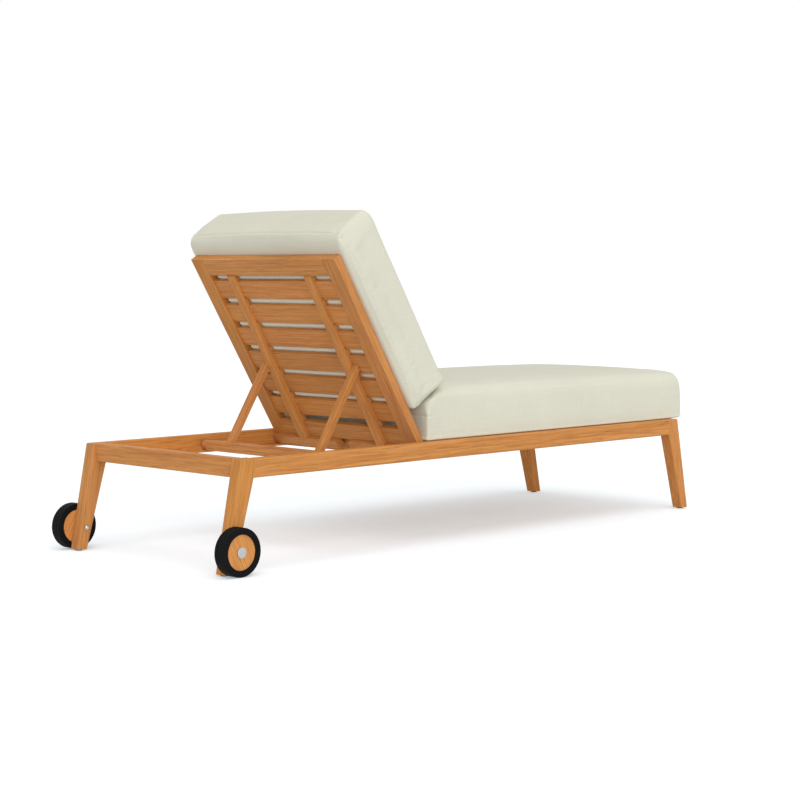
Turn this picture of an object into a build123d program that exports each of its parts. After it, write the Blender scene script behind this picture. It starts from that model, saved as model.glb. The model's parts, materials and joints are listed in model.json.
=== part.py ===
"""Reclining sun lounger: a splayed-leg teak base with two wheels at the head end,
a slatted back that pivots on stub bars, a folding prop and two loose cushions.
Lengths are in millimetres. X runs across, +Y points to the head end, +Z is up."""
from build123d import *
import math
import os

# One overrun for every cut that passes through a face
overrun = 5.0

# Base frame
base_width = 722.6
base_length = 2000.0
rail_top = 320.0
rail_depth = 54.0
side_rail_thickness = 30.0
end_rail_thickness = 35.0
end_rail_setback = 6.0
rail_edge_radius = 4.0

# Legs
leg_width = 41.3
leg_top_depth = 51.0
leg_root_step = 5.0
leg_foot_depth = 32.5
leg_splay = 62.0

# Tenons of the base frame
tenon_thickness = 12.0
tenon_shoulder = 10.0
side_tenon_length = 26.0
end_tenon_length = 16.0
glue_gap = 0.2

# Glides under the legs
glide_height = 4.0
glide_radius = 12.0
glide_flat_radius = 8.0

# Seat deck
seat_pivot_gap = 25.9
seat_slat_count = 12
seat_slat_width = 70.0
seat_slat_thickness = 14.0
seat_slat_end_gap = 1.0
seat_slat_radius = 2.0
seat_end_gap = 2.0
ledger_width = 25.3
cross_rail_thickness = 35.0

# Back pivot
pivot_y = 260.9
pivot_below_top = 31.5
recline_angle = 58.34
pivot_pin_radius = 5.0
pin_clearance = 0.05
pin_depth_in_rail = 18.0
pin_depth_in_bar = 40.0
pin_end_gap = 1.0
pivot_washer_radius = 11.0
pivot_washer_thickness = 0.9
side_play = 0.3

# Stub bars at the foot of the back, in the back's own frame
bar_centre_gap = 58.0
bar_below_pivot = 12.5
bar_above_pivot = 19.7
bar_behind_pivot = 9.6
bar_before_pivot = 19.4
bar_edge_radius = 2.0

# Back panel, in the same frame: up the slope from the pivot, out of its plane
back_length = 684.2
back_side_gap = 3.3
back_plane = 3.1
stile_width = 55.0
stile_thickness = 28.5
stile_edge_radius = 3.0
back_rail_thickness = 20.0
back_rail_tenon = 14.0
top_rail_height = 60.0
bottom_rail_height = 56.5
bottom_rail_setback = 2.0
back_slat_count = 6
back_slat_height = 66.5
back_slat_setback = 6.5
back_slat_thickness = 13.0
back_slat_tenon = 8.0
back_edge_radius = 1.5
bevel_height = 13.0
bevel_depth = 3.5

# Wedge battens that tie the slats together
batten_stile_gap = 82.0
batten_width = 30.0
batten_top_proud = 1.4
batten_foot_proud = 17.2
batten_finger_setback = 0.5
batten_edge_radius = 2.0

# Prop, bolted to the battens behind one of the slats, counted from the top
prop_slat_number = 4
prop_pivot_above_slat = 19.6
prop_pivot_out = -1.9
prop_bolt_radius = 3.0
prop_arm_gap = 0.5
prop_arm_thickness = 24.0
prop_arm_width = 19.5
prop_arm_radius = 2.0
prop_end_gap = 0.4
prop_pocket_gap = 0.6
crossbar_size = 31.0
crossbar_end_gap = 1.3
crossbar_round_length = 23.0
crossbar_radius = 3.0
prop_bolt_wall = 6.0
prop_counterbore_radius = 6.5
prop_counterbore_depth = 12.0
prop_washer_radius = 6.0
prop_washer_thickness = 1.0
prop_nut_radius = 5.5
prop_nut_height = 5.0
prop_nut_wall = 1.5
prop_plug_gap = 0.5

# Rack that the crossbar rests in
rack_pitch = 53.0
rack_tooth_count = 3
rack_tooth_width = 12.0
rack_tooth_below_pivot = 2.5
rack_notch_clearance = 0.7
rack_tooth_radius = 8.0

# Wheels
wheel_radius = 68.8
wheel_floor_gap = 0.4
wheel_width = 38.4
wheel_gap = 1.5
axle_from_leg_edge = 16.2
tyre_wall = 18.5
tyre_shoulder_radius = 3.5
disc_recess = 3.7
tyre_groove_width = 1.6
tyre_groove_depth = 1.0
disc_edge_radius = 1.0
bush_radius = 7.0
axle_radius = 4.0
axle_play = 0.2
axle_cap_radius = 15.5
axle_cap_height = 5.0
axle_cap_rim = 3.0
axle_spacer_radius = 9.0
axle_nut_radius = 7.0
axle_nut_height = 9.0
axle_nut_wall = 2.5

# Seat cushion
seat_cushion_side_inset = 14.3
seat_cushion_front_overhang = 38.0
seat_cushion_rear_overhang = 8.0
seat_cushion_thickness = 189.0
seat_cushion_corner = 38.0
seat_cushion_roll = 100.0
cushion_bow = 9.0
cushion_lift = 0.4
cushion_gap = 4.0

# Back cushion, in the back's own frame
back_cushion_side_overhang = 17.0
back_cushion_foot = 126.0
back_cushion_over_top = 71.8
back_cushion_thickness = 159.0
back_cushion_corner = 34.0
back_cushion_roll = 60.0
bulge_side_gap = 8.0
bulge_end_gap = 14.0
bulge_foot = 165.0

# Places that follow from the sizes above
half_width = base_width / 2
half_length = base_length / 2
half_inner = half_width - side_rail_thickness
leg_inner = half_width - leg_width
leg_seam = half_length - leg_top_depth
rail_bottom = rail_top - rail_depth
rail_middle = half_width - side_rail_thickness / 2
end_rail_outer = half_length - end_rail_setback
end_rail_inner = end_rail_outer - end_rail_thickness
ledger_top = rail_top - seat_slat_thickness
pivot_z = rail_top - pivot_below_top
seat_rear = pivot_y - seat_pivot_gap
back_half_width = half_inner - back_side_gap
stile_inner = back_half_width - stile_width
back_opening = back_length - top_rail_height - bottom_rail_height - bar_above_pivot
back_slat_gap = (back_opening - back_slat_count * back_slat_height) / (back_slat_count + 1)
back_slat_pitch = back_slat_height + back_slat_gap
prop_slat_low = back_length - top_rail_height - prop_slat_number * back_slat_pitch
prop_pivot_up = prop_slat_low + prop_pivot_above_slat
batten_outer = stile_inner - batten_stile_gap
batten_inner = batten_outer - batten_width
arm_inner = batten_outer + prop_arm_gap
arm_outer = arm_inner + prop_arm_thickness
back_slat_back = back_plane + back_slat_setback
back_slat_front = back_slat_back + back_slat_thickness
stile_front = back_plane + stile_thickness
top_rail_thickness = stile_thickness
bottom_rail_back = back_plane + bottom_rail_setback
bar_end = half_inner - pivot_washer_thickness - side_play
slope = math.radians(recline_angle)
prop_counterbore_floor = arm_outer - prop_counterbore_depth
prop_washer_face = prop_counterbore_floor + side_play
prop_nut_face = prop_washer_face + prop_washer_thickness
prop_nut_end = prop_nut_face + prop_nut_height
prop_end_plane = back_slat_back - prop_end_gap
prop_end_distance = prop_end_plane - prop_pivot_out
prop_end_reach = prop_end_distance / math.tan(-2 * slope) + prop_arm_width / 2 / math.sin(2 * slope)
prop_end_radius = math.hypot(prop_end_distance, prop_end_reach)
notch_radius = crossbar_size / 2 + rack_notch_clearance
rack_floor = pivot_z - notch_radius
rack_tooth_top = pivot_z - rack_tooth_below_pivot
crossbar_half = half_inner - rack_tooth_width - crossbar_end_gap
crossbar_square_half = crossbar_half - crossbar_round_length
wheel_inner = half_width + wheel_gap
wheel_outer = wheel_inner + wheel_width
disc_outer = wheel_outer - disc_recess
wheel_z = wheel_radius + wheel_floor_gap
leg_edge_at_axle = half_length + leg_splay * (rail_top - wheel_z) / (rail_top - glide_height)
wheel_y = leg_edge_at_axle - axle_from_leg_edge
tyre_inner_radius = wheel_radius - tyre_wall
seat_cushion_half_width = half_width - seat_cushion_side_inset
seat_cushion_front = half_length + seat_cushion_front_overhang
seat_cushion_rear = seat_rear + seat_cushion_rear_overhang
back_cushion_half_width = back_half_width + back_cushion_side_overhang
back_cushion_head = back_length + back_cushion_over_top
frame_shift = (half_length + leg_splay - wheel_y - wheel_radius) / 2
back_place = Plane(
    origin=(0, pivot_y, pivot_z),
    x_dir=(1, 0, 0),
    z_dir=(0, -math.sin(slope), math.cos(slope)),
).location


def in_base(up, out):
    """Y and Z in the base of a point given up the back's slope and out of its plane."""
    y = pivot_y + up * math.cos(slope) - out * math.sin(slope)
    z = pivot_z + up * math.sin(slope) + out * math.cos(slope)
    return y, z


prop_pivot_y, prop_pivot_z = in_base(prop_pivot_up, prop_pivot_out)
crossbar_y = 2 * prop_pivot_y - pivot_y


def block(x_low, x_high, y_low, y_high, z_low, z_high):
    """A block between two corners."""
    middle = ((x_low + x_high) / 2, (y_low + y_high) / 2, (z_low + z_high) / 2)
    return Pos(*middle) * Box(x_high - x_low, y_high - y_low, z_high - z_low)


def eased(solid, axis, radius):
    """A solid with its edges along one axis rounded."""
    return fillet(solid.edges().filter_by(axis), radius)


def rod(x_low, x_high, y, z, radius):
    """A round bar along X."""
    middle = (x_low + x_high) / 2
    return Pos(middle, y, z) * Rot(0, 90, 0) * Cylinder(radius, x_high - x_low)


def ring(x_low, x_high, y, z, outer, inner):
    """A washer or tube along X."""
    return rod(x_low, x_high, y, z, outer) - rod(x_low - overrun, x_high + overrun, y, z, inner)


def swept(points, x_low, x_high):
    """An outline of Y and Z points drawn out along X."""
    face = make_face(Plane.YZ * Polyline(*points, close=True))
    return Pos(x_low, 0, 0) * extrude(face, x_high - x_low, dir=(1, 0, 0))


def turned(points, y, z):
    """An outline of X and radius points turned about an axis along X."""
    face = make_face(Plane.XY * Polyline(*points, close=True))
    return Pos(0, y, z) * revolve(face, Axis.X)


def other_side(solid):
    """The same piece on the other side of the lounger."""
    return mirror(solid, about=Plane.YZ)


def other_end(solid):
    """The same piece at the other end of the lounger."""
    return mirror(solid, about=Plane.XZ)


def side_tenon(gap):
    """The tenon at the head end of the +X side rail, or its mortise when given a gap."""
    half = tenon_thickness / 2 + gap
    low = rail_bottom + tenon_shoulder - gap
    high = rail_top - tenon_shoulder + gap
    tip = leg_seam + side_tenon_length + gap
    return block(rail_middle - half, rail_middle + half, leg_seam - overrun, tip, low, high)


def end_tenon(gap):
    """The tenon at the +X end of the head rail, or its mortise when given a gap."""
    half = tenon_thickness / 2 + gap
    middle = (end_rail_outer + end_rail_inner) / 2
    low = rail_bottom + tenon_shoulder - gap
    high = rail_top - tenon_shoulder + gap
    tip = leg_inner + end_tenon_length + gap
    return block(leg_inner - overrun, tip, middle - half, middle + half, low, high)


def side_rail():
    """+X side rail with a tenon at each end and a blind hole for the pivot pin."""
    blank = block(half_inner, half_width, -leg_seam, leg_seam, rail_bottom, rail_top)
    rail = eased(blank, Axis.Y, rail_edge_radius) + side_tenon(0) + other_end(side_tenon(0))
    hole_end = half_inner + pin_depth_in_rail + pin_end_gap
    return rail - rod(half_inner - overrun, hole_end, pivot_y, pivot_z, pivot_pin_radius + pin_clearance)


def head_rail():
    """Rail across the head end, tenoned into both legs."""
    blank = block(-leg_inner, leg_inner, end_rail_inner, end_rail_outer, rail_bottom, rail_top)
    return eased(blank, Axis.X, rail_edge_radius) + end_tenon(0) + other_side(end_tenon(0))


def outer_edge_is_eased(edge):
    """Whether an edge on the leg's outer or end face is rounded: not at its foot or joints."""
    place = edge.center()
    at_foot = place.Z < glide_height + overrun
    at_joint = place.Y < leg_seam + leg_root_step
    on_inner_slant = place.Z < rail_bottom and place.Y < half_length
    inner_top = place.X < leg_inner + overrun and place.Z > rail_top - overrun
    return not (at_foot or at_joint or on_inner_slant or inner_top)


def foot_leg():
    """+X leg, drawn at the head end: upright at the rails, then splayed and tapered."""
    toe = half_length + leg_splay
    heel = (toe - leg_foot_depth, glide_height)
    root = (leg_seam + leg_root_step, rail_bottom)
    outline = [
        (leg_seam, rail_bottom),
        (leg_seam, rail_top),
        (half_length, rail_top),
        (toe, glide_height),
        heel,
        root,
    ]
    blank = swept(outline, leg_inner, half_width)
    shaped = fillet(blank.edges().filter_by(outer_edge_is_eased), rail_edge_radius)
    shin = swept([heel, root, (toe, rail_bottom), (toe, glide_height)], leg_inner, half_width)
    back_edges = shin.faces().sort_by(Axis.Y)[0].edges().filter_by(Axis.X, reverse=True)
    shin = fillet(back_edges, rail_edge_radius)
    knee = block(leg_inner, half_width, leg_seam, toe, rail_bottom, rail_top)
    return (shaped & (knee + shin)) - side_tenon(glue_gap) - end_tenon(glue_gap)


def head_leg():
    """+X leg at the head end, bored for the axle bolt."""
    bore = rod(leg_inner - overrun, half_width + overrun, wheel_y, wheel_z, axle_radius + pin_clearance)
    return foot_leg() - bore


def glide():
    """Domed glide under the +X leg at the head end."""
    x = half_width - leg_width / 2
    y = half_length + leg_splay - leg_foot_depth / 2
    dome = [
        Line((0, 0), (glide_flat_radius, 0)),
        RadiusArc((glide_flat_radius, 0), (glide_radius, glide_height), -(glide_radius - glide_flat_radius)),
        Line((glide_radius, glide_height), (0, glide_height)),
        Line((0, glide_height), (0, 0)),
    ]
    face = make_face(Plane.XZ * Wire(dome))
    return Pos(x, y, 0) * revolve(face, Axis.Z)


def glides():
    """The four glides."""
    head = glide()
    return [head, other_side(head), other_end(head), other_end(other_side(head))]


def seat_ledger():
    """Ledger on the inside of the +X side rail that carries the seat slats."""
    return block(half_inner - ledger_width, half_inner, -leg_seam, seat_rear, rail_bottom, ledger_top)


def rack():
    """Toothed strip on the inside of the +X side rail that the prop's crossbar rests in."""
    strip = block(half_inner - ledger_width, half_inner, seat_rear, leg_seam, rail_bottom, rack_floor)
    last_notch = crossbar_y + rack_tooth_count * rack_pitch
    teeth_inner = half_inner - rack_tooth_width
    teeth = block(teeth_inner, half_inner, crossbar_y, last_notch, rail_bottom, rack_tooth_top)
    for index in range(rack_tooth_count + 1):
        notch_y = crossbar_y + index * rack_pitch
        teeth -= rod(half_inner - ledger_width, half_inner + overrun, notch_y, pivot_z, notch_radius)
    crests = teeth.edges().filter_by(Axis.X).filter_by_position(
        Axis.Z, rack_tooth_top - rack_notch_clearance, rack_tooth_top + rack_notch_clearance
    )
    return strip + fillet(crests, rack_tooth_radius)


def cross_rail():
    """Rail between the ledgers under the rear edge of the seat."""
    reach = half_inner - ledger_width
    return block(-reach, reach, seat_rear - cross_rail_thickness, seat_rear, rail_bottom, ledger_top)


def seat_slat(index):
    """One slat of the seat deck, counted from the foot end."""
    front = seat_end_gap - leg_seam
    pitch = (seat_rear - front - seat_slat_width) / (seat_slat_count - 1)
    low = front + index * pitch
    reach = half_inner - seat_slat_end_gap
    blank = block(-reach, reach, low, low + seat_slat_width, ledger_top, rail_top)
    return eased(blank, Axis.X, seat_slat_radius)


def pivot_pin():
    """Pin from the +X side rail into its stub bar."""
    start = half_inner - pin_depth_in_bar
    return rod(start, half_inner + pin_depth_in_rail, pivot_y, pivot_z, pivot_pin_radius)


def pivot_washer():
    """Washer between the +X side rail and its stub bar."""
    start = half_inner - pivot_washer_thickness
    inner = pivot_pin_radius + pin_clearance
    return ring(start, half_inner, pivot_y, pivot_z, pivot_washer_radius, inner)


def pivot_bar():
    """+X stub bar under the back, bored for its pin, in the back's frame."""
    start = bar_centre_gap / 2
    blank = block(start, bar_end, -bar_below_pivot, bar_above_pivot, -bar_behind_pivot, bar_before_pivot)
    bar = eased(blank, Axis.X, bar_edge_radius)
    hole_start = half_inner - pin_depth_in_bar - pin_end_gap
    return bar - rod(hole_start, bar_end + overrun, 0, 0, pivot_pin_radius + pin_clearance)


def back_slat_low(index):
    """Height up the slope of a back slat's lower edge, counted from the top."""
    return back_length - top_rail_height - back_slat_pitch * (index + 1)


def tenon_pair(low, high, back, thickness, length, gap):
    """Tenons at both ends of a member of the back, or their mortises when given a gap."""
    third = thickness / 3
    reach = stile_inner + length + gap
    return block(-reach, reach, low - gap, high + gap, back + third - gap, back + 2 * third + gap)


def beveled(low, high, back, thickness):
    """A cross member of the back with a long shallow bevel along its lower back edge."""
    outline = [
        (low, back + bevel_depth),
        (low + bevel_height, back),
        (high, back),
        (high, back + thickness),
        (low, back + thickness),
    ]
    return eased(swept(outline, -stile_inner, stile_inner), Axis.X, back_edge_radius)


def back_slat(index):
    """One slat of the back, tenoned into both stiles, in the back's frame."""
    low = back_slat_low(index)
    high = low + back_slat_height
    slat = beveled(low, high, back_slat_back, back_slat_thickness)
    inset = back_slat_gap / 3
    tenons = tenon_pair(low + inset, high - inset, back_slat_back, back_slat_thickness, back_slat_tenon, 0)
    return slat + tenons


def pocketed_slat():
    """The slat that the prop is bolted behind, hollowed where the ends of the arms turn."""
    pocket = rod(
        arm_inner - prop_arm_gap, arm_outer + prop_arm_gap, prop_pivot_up, prop_pivot_out,
        prop_end_radius + prop_pocket_gap,
    )
    return back_slat(prop_slat_number - 1) - pocket - other_side(pocket)


def top_rail():
    """Top rail of the back, tenoned into both stiles, in the back's frame."""
    low = back_length - top_rail_height
    rail = beveled(low, back_length, back_plane, top_rail_thickness)
    inset = back_rail_tenon
    return rail + tenon_pair(
        low + inset, back_length - inset, back_plane, top_rail_thickness, back_rail_tenon, 0
    )


def bottom_rail():
    """Bottom rail of the back on the stub bars, tenoned into both stiles."""
    low = bar_above_pivot
    high = low + bottom_rail_height
    front = bottom_rail_back + back_rail_thickness
    blank = block(-stile_inner, stile_inner, low, high, bottom_rail_back, front)
    rail = eased(blank, Axis.X, back_edge_radius)
    inset = back_rail_tenon
    return rail + tenon_pair(
        low + inset, high - inset, bottom_rail_back, back_rail_thickness, back_rail_tenon, 0
    )


def stile():
    """+X stile of the back with a mortise for each rail and slat, in the back's frame."""
    blank = block(stile_inner, back_half_width, bar_above_pivot, back_length, back_plane, stile_front)
    post = eased(blank, Axis.Y, stile_edge_radius)
    inset = back_slat_gap / 3
    for index in range(back_slat_count):
        low = back_slat_low(index) + inset
        high = back_slat_low(index) + back_slat_height - inset
        post -= tenon_pair(low, high, back_slat_back, back_slat_thickness, back_slat_tenon, glue_gap)
    inset = back_rail_tenon
    low = back_length - top_rail_height + inset
    post -= tenon_pair(low, back_length - inset, back_plane, top_rail_thickness, back_rail_tenon, glue_gap)
    high = bar_above_pivot + bottom_rail_height - inset
    return post - tenon_pair(
        bar_above_pivot + inset, high, bottom_rail_back, back_rail_thickness, back_rail_tenon, glue_gap
    )


def batten():
    """+X wedge batten, notched over the slats with fingers between them, in the back's frame."""
    high = back_length - top_rail_height
    finger = back_slat_front - batten_finger_setback
    outline = [
        (bar_above_pivot, back_plane - batten_foot_proud),
        (high, back_plane - batten_top_proud),
        (high, finger),
    ]
    for index in range(back_slat_count):
        low = back_slat_low(index)
        outline.append((low + back_slat_height, finger))
        outline.append((low + back_slat_height, back_slat_back))
        outline.append((low, back_slat_back))
        outline.append((low, finger))
    rail_high = bar_above_pivot + bottom_rail_height
    outline.append((rail_high, finger))
    outline.append((rail_high, bottom_rail_back))
    outline.append((bar_above_pivot, bottom_rail_back))
    blank = swept(outline, batten_inner, batten_outer)
    back_edges = blank.faces().sort_by(Axis.Z)[0].edges().filter_by(
        lambda edge: edge.length > batten_width + overrun
    )
    shaped = fillet(back_edges, batten_edge_radius)
    bore = rod(
        batten_inner + prop_bolt_wall, batten_outer + overrun, prop_pivot_up, prop_pivot_out,
        prop_bolt_radius + pin_clearance,
    )
    return shaped - bore


def prop_bolt():
    """+X headless prop bolt from the batten into the arm, in the back's frame."""
    start = batten_inner + prop_bolt_wall
    return rod(start, prop_nut_end - prop_nut_wall, prop_pivot_up, prop_pivot_out, prop_bolt_radius)


def prop_washer():
    """+X washer in the counterbore of the prop arm, in the back's frame."""
    inner = prop_bolt_radius + pin_clearance
    return ring(
        prop_washer_face, prop_nut_face, prop_pivot_up, prop_pivot_out, prop_washer_radius, inner
    )


def dome_nut(start, height, radius, wall, bore):
    """Outline of X and radius points for a domed nut with a blind bore."""
    return [
        (start, bore),
        (start, radius),
        (start + height / 2, radius),
        (start + height * 3 / 4, radius * 4 / 5),
        (start + height, radius / 2),
        (start + height, 0),
        (start + height - wall, 0),
        (start + height - wall, bore),
    ]


def prop_nut():
    """+X domed nut on the prop bolt, in the back's frame."""
    outline = dome_nut(prop_nut_face, prop_nut_height, prop_nut_radius, prop_nut_wall, prop_bolt_radius)
    return turned(outline, prop_pivot_up, prop_pivot_out)


def prop_arm():
    """+X prop arm: its upper end cut along the slats, its foot cut level on the crossbar."""
    length = math.hypot(crossbar_y - prop_pivot_y, prop_pivot_z - pivot_z)
    lean = math.degrees(math.atan2(prop_pivot_z - pivot_z, crossbar_y - prop_pivot_y))
    half = prop_arm_width / 2
    reach = prop_arm_width + crossbar_size
    bar = eased(block(arm_inner, arm_outer, -reach, length, -half, half), Axis.Y, prop_arm_radius)
    arm = Pos(0, prop_pivot_y, prop_pivot_z) * Rot(-lean, 0, 0) * bar
    top = pivot_z + crossbar_size / 2
    arm -= block(
        arm_inner - overrun, arm_outer + overrun, crossbar_y - reach, crossbar_y + reach, top - reach, top
    )
    arm -= back_place * block(
        arm_inner - overrun, arm_outer + overrun, prop_pivot_up - reach, prop_pivot_up + reach,
        prop_end_plane, prop_end_plane + reach,
    )
    arm -= rod(
        prop_counterbore_floor, arm_outer + overrun, prop_pivot_y, prop_pivot_z, prop_counterbore_radius
    )
    bore = prop_bolt_radius + pin_clearance
    return arm - rod(arm_inner - overrun, arm_outer + overrun, prop_pivot_y, prop_pivot_z, bore)


def prop_plug():
    """+X wooden plug that closes the arm's counterbore over the nut."""
    start = prop_nut_end + prop_plug_gap
    return rod(start, arm_outer, prop_pivot_y, prop_pivot_z, prop_counterbore_radius - pin_clearance)


def crossbar():
    """Crossbar of the prop: square between the racks with a round end in each rack."""
    half = crossbar_size / 2
    square = crossbar_square_half
    blank = block(-square, square, crossbar_y - half, crossbar_y + half, pivot_z - half, pivot_z + half)
    ends = rod(-crossbar_half, crossbar_half, crossbar_y, pivot_z, half)
    return eased(blank, Axis.X, crossbar_radius) + ends


def tyre():
    """+X tyre with round shoulders and two grooves around its tread."""
    middle = (wheel_inner + wheel_outer) / 2
    hoop = ring(wheel_inner, wheel_outer, wheel_y, wheel_z, wheel_radius, tyre_inner_radius)
    rims = hoop.edges().filter_by(GeomType.CIRCLE).filter_by(lambda edge: edge.radius > tyre_inner_radius)
    hoop = fillet(rims, tyre_shoulder_radius)
    for side in (-1, 1):
        centre = middle + side * wheel_width / 6
        hoop -= ring(
            centre - tyre_groove_width / 2, centre + tyre_groove_width / 2, wheel_y, wheel_z,
            wheel_radius + overrun, wheel_radius - tyre_groove_depth,
        )
    return hoop


def wheel_disc():
    """+X turned wooden disc inside the tyre."""
    outer = tyre_inner_radius - pin_clearance
    disc = ring(wheel_inner, disc_outer, wheel_y, wheel_z, outer, bush_radius + pin_clearance)
    circles = disc.edges().filter_by(GeomType.CIRCLE)
    rims = circles.filter_by(lambda edge: edge.radius > bush_radius + overrun)
    return fillet(rims, disc_edge_radius)


def wheel_bush():
    """+X bush that the wheel turns on."""
    return ring(wheel_inner, disc_outer, wheel_y, wheel_z, bush_radius, axle_radius + pin_clearance)


def axle_bolt():
    """+X axle bolt with a wide flat-domed head outside the wheel."""
    face = disc_outer + axle_play
    outline = [
        (face, axle_radius),
        (face, axle_cap_radius),
        (face + axle_cap_rim, axle_cap_radius),
        (face + (axle_cap_rim + axle_cap_height) / 2, axle_cap_radius * 3 / 4),
        (face + axle_cap_height, axle_cap_radius / 3),
        (face + axle_cap_height, 0),
        (leg_inner - axle_nut_height + axle_nut_wall, 0),
        (leg_inner - axle_nut_height + axle_nut_wall, axle_radius),
    ]
    return turned(outline, wheel_y, wheel_z)


def axle_spacer():
    """+X spacer on the axle between leg and wheel."""
    end = wheel_inner - axle_play
    return ring(half_width, end, wheel_y, wheel_z, axle_spacer_radius, axle_radius + pin_clearance)


def axle_nut():
    """+X domed nut on the axle inside the leg."""
    outline = dome_nut(-leg_inner, axle_nut_height, axle_nut_radius, axle_nut_wall, axle_radius)
    return other_side(turned(outline, wheel_y, wheel_z))


def cushion_section(height, half, low, high, corner, bow):
    """Level outline of a cushion: four bowed sides and four round corners."""
    middle = (low + high) / 2
    tuck = corner * (1 - math.sqrt(0.5))
    edges = [
        ThreePointArc((corner - half, low), (0, low - bow), (half - corner, low)),
        ThreePointArc((half - corner, low), (half - tuck, low + tuck), (half, low + corner)),
        ThreePointArc((half, low + corner), (half + bow, middle), (half, high - corner)),
        ThreePointArc((half, high - corner), (half - tuck, high - tuck), (half - corner, high)),
        ThreePointArc((half - corner, high), (0, high + bow), (corner - half, high)),
        ThreePointArc((corner - half, high), (tuck - half, high - tuck), (-half, high - corner)),
        ThreePointArc((-half, high - corner), (-half - bow, middle), (-half, low + corner)),
        ThreePointArc((-half, low + corner), (tuck - half, low + tuck), (corner - half, low)),
    ]
    return make_face(Pos(0, 0, height) * Wire(edges))


# Levels of a cushion from its underside: share of its thickness, of its roll drawn in,
# of its corner radius and of its bow
seat_level_shares = (
    (0.0, 0.20, 0.6, 0.2),
    (0.08, 0.06, 0.9, -0.6),
    (0.42, 0.0, 1.0, 0.5),
    (0.78, 0.03, 1.0, -0.6),
    (0.90, 0.16, 1.3, 0.2),
    (0.965, 0.55, 1.8, 0.3),
    (1.0, 1.25, 2.4, 0.4),
)
back_level_shares = (
    (0.0, 0.42, 0.7, 0.2),
    (0.14, 0.05, 0.9, -0.7),
    (0.45, 0.0, 1.0, 0.5),
    (0.78, 0.05, 1.0, -0.5),
    (0.92, 0.30, 1.3, 0.2),
    (1.0, 1.10, 2.0, 0.4),
)


def rear_limit(height):
    """Y that the seat cushion may reach at a height before it meets the back cushion's foot."""
    foot = back_cushion_foot - cushion_gap
    return pivot_y + (foot - (height - pivot_z) * math.sin(slope)) / math.cos(slope)


def seat_cushion():
    """Seat cushion: crowned, drawn in at its seams, its rear sloped to clear the back cushion."""
    bottom = rail_top + cushion_lift
    sections = []
    for height_share, roll_share, corner_share, bow_share in seat_level_shares:
        height = bottom + height_share * seat_cushion_thickness
        inset = roll_share * seat_cushion_roll
        bow = bow_share * cushion_bow
        high = min(seat_cushion_rear - inset, rear_limit(height) - inset / 4) - max(bow, 0)
        half = seat_cushion_half_width - inset - max(bow, 0)
        low = inset + max(bow, 0) - seat_cushion_front
        corner = seat_cushion_corner * corner_share
        sections.append(cushion_section(height, half, low, high, corner, bow))
    return loft(sections)


def back_cushion():
    """Back cushion in the back's frame, with a bulge between the stiles against the slats."""
    bottom = stile_front + cushion_lift
    sections = []
    for height_share, roll_share, corner_share, bow_share in back_level_shares:
        height = bottom + height_share * back_cushion_thickness
        inset = roll_share * back_cushion_roll
        bow = bow_share * cushion_bow
        keep = inset + max(bow, 0)
        half = back_cushion_half_width - keep
        corner = back_cushion_corner * corner_share
        low = back_cushion_foot + keep
        sections.append(cushion_section(height, half, low, back_cushion_head - keep, corner, bow))
    face = back_slat_front + cushion_lift
    half = stile_inner - bulge_side_gap
    high = back_length - top_rail_height - bulge_end_gap
    top = bottom + back_cushion_thickness / 2
    bulge = block(-half, half, bulge_foot, high, face, top)
    lower_edges = bulge.edges().filter_by_position(Axis.Z, face - cushion_lift, face + cushion_lift)
    return loft(sections) + chamfer(lower_edges, bottom - face)


def base_nodes():
    """Nodes of the base, each with its solids."""
    nodes = {
        "side_rail_right": [side_rail()],
        "side_rail_left": [other_side(side_rail())],
        "head_rail": [head_rail()],
        "foot_rail": [other_end(head_rail())],
        "leg_head_right": [head_leg()],
        "leg_head_left": [other_side(head_leg())],
        "leg_foot_right": [other_end(foot_leg())],
        "leg_foot_left": [other_side(other_end(foot_leg()))],
        "glides": glides(),
        "seat_ledger_right": [seat_ledger()],
        "seat_ledger_left": [other_side(seat_ledger())],
        "rack_right": [rack()],
        "rack_left": [other_side(rack())],
        "cross_rail": [cross_rail()],
        "seat_cushion": [seat_cushion()],
        "pivot_pins": [pivot_pin(), other_side(pivot_pin())],
        "pivot_washers": [pivot_washer(), other_side(pivot_washer())],
        "axle_bolts": [axle_bolt(), other_side(axle_bolt())],
        "axle_spacers": [axle_spacer(), other_side(axle_spacer())],
        "axle_nuts": [axle_nut(), other_side(axle_nut())],
    }
    for index in range(seat_slat_count):
        nodes[f"seat_slat_{index + 1}"] = [seat_slat(index)]
    return nodes


def back_nodes():
    """Nodes of the back, placed from the back's own frame."""
    flat = {
        "stile_right": [stile()],
        "stile_left": [other_side(stile())],
        "back_top_rail": [top_rail()],
        "back_bottom_rail": [bottom_rail()],
        "batten_right": [batten()],
        "batten_left": [other_side(batten())],
        "pivot_bar_right": [pivot_bar()],
        "pivot_bar_left": [other_side(pivot_bar())],
        "back_cushion": [back_cushion()],
        "prop_bolts": [prop_bolt(), other_side(prop_bolt())],
        "prop_washers": [prop_washer(), other_side(prop_washer())],
        "prop_nuts": [prop_nut(), other_side(prop_nut())],
    }
    for index in range(back_slat_count):
        flat[f"back_slat_{index + 1}"] = [back_slat(index)]
    flat[f"back_slat_{prop_slat_number}"] = [pocketed_slat()]
    return {name: [back_place * solid for solid in solids] for name, solids in flat.items()}


def prop_nodes():
    """Nodes of the folding prop."""
    return {
        "prop_arm_right": [prop_arm()],
        "prop_arm_left": [other_side(prop_arm())],
        "crossbar": [crossbar()],
        "prop_plugs": [prop_plug(), other_side(prop_plug())],
    }


def wheel_nodes():
    """Nodes of the two wheels."""
    return {
        "tyre_right": [tyre()],
        "tyre_left": [other_side(tyre())],
        "wheel_disc_right": [wheel_disc()],
        "wheel_disc_left": [other_side(wheel_disc())],
        "wheel_bush_right": [wheel_bush()],
        "wheel_bush_left": [other_side(wheel_bush())],
    }


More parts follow.
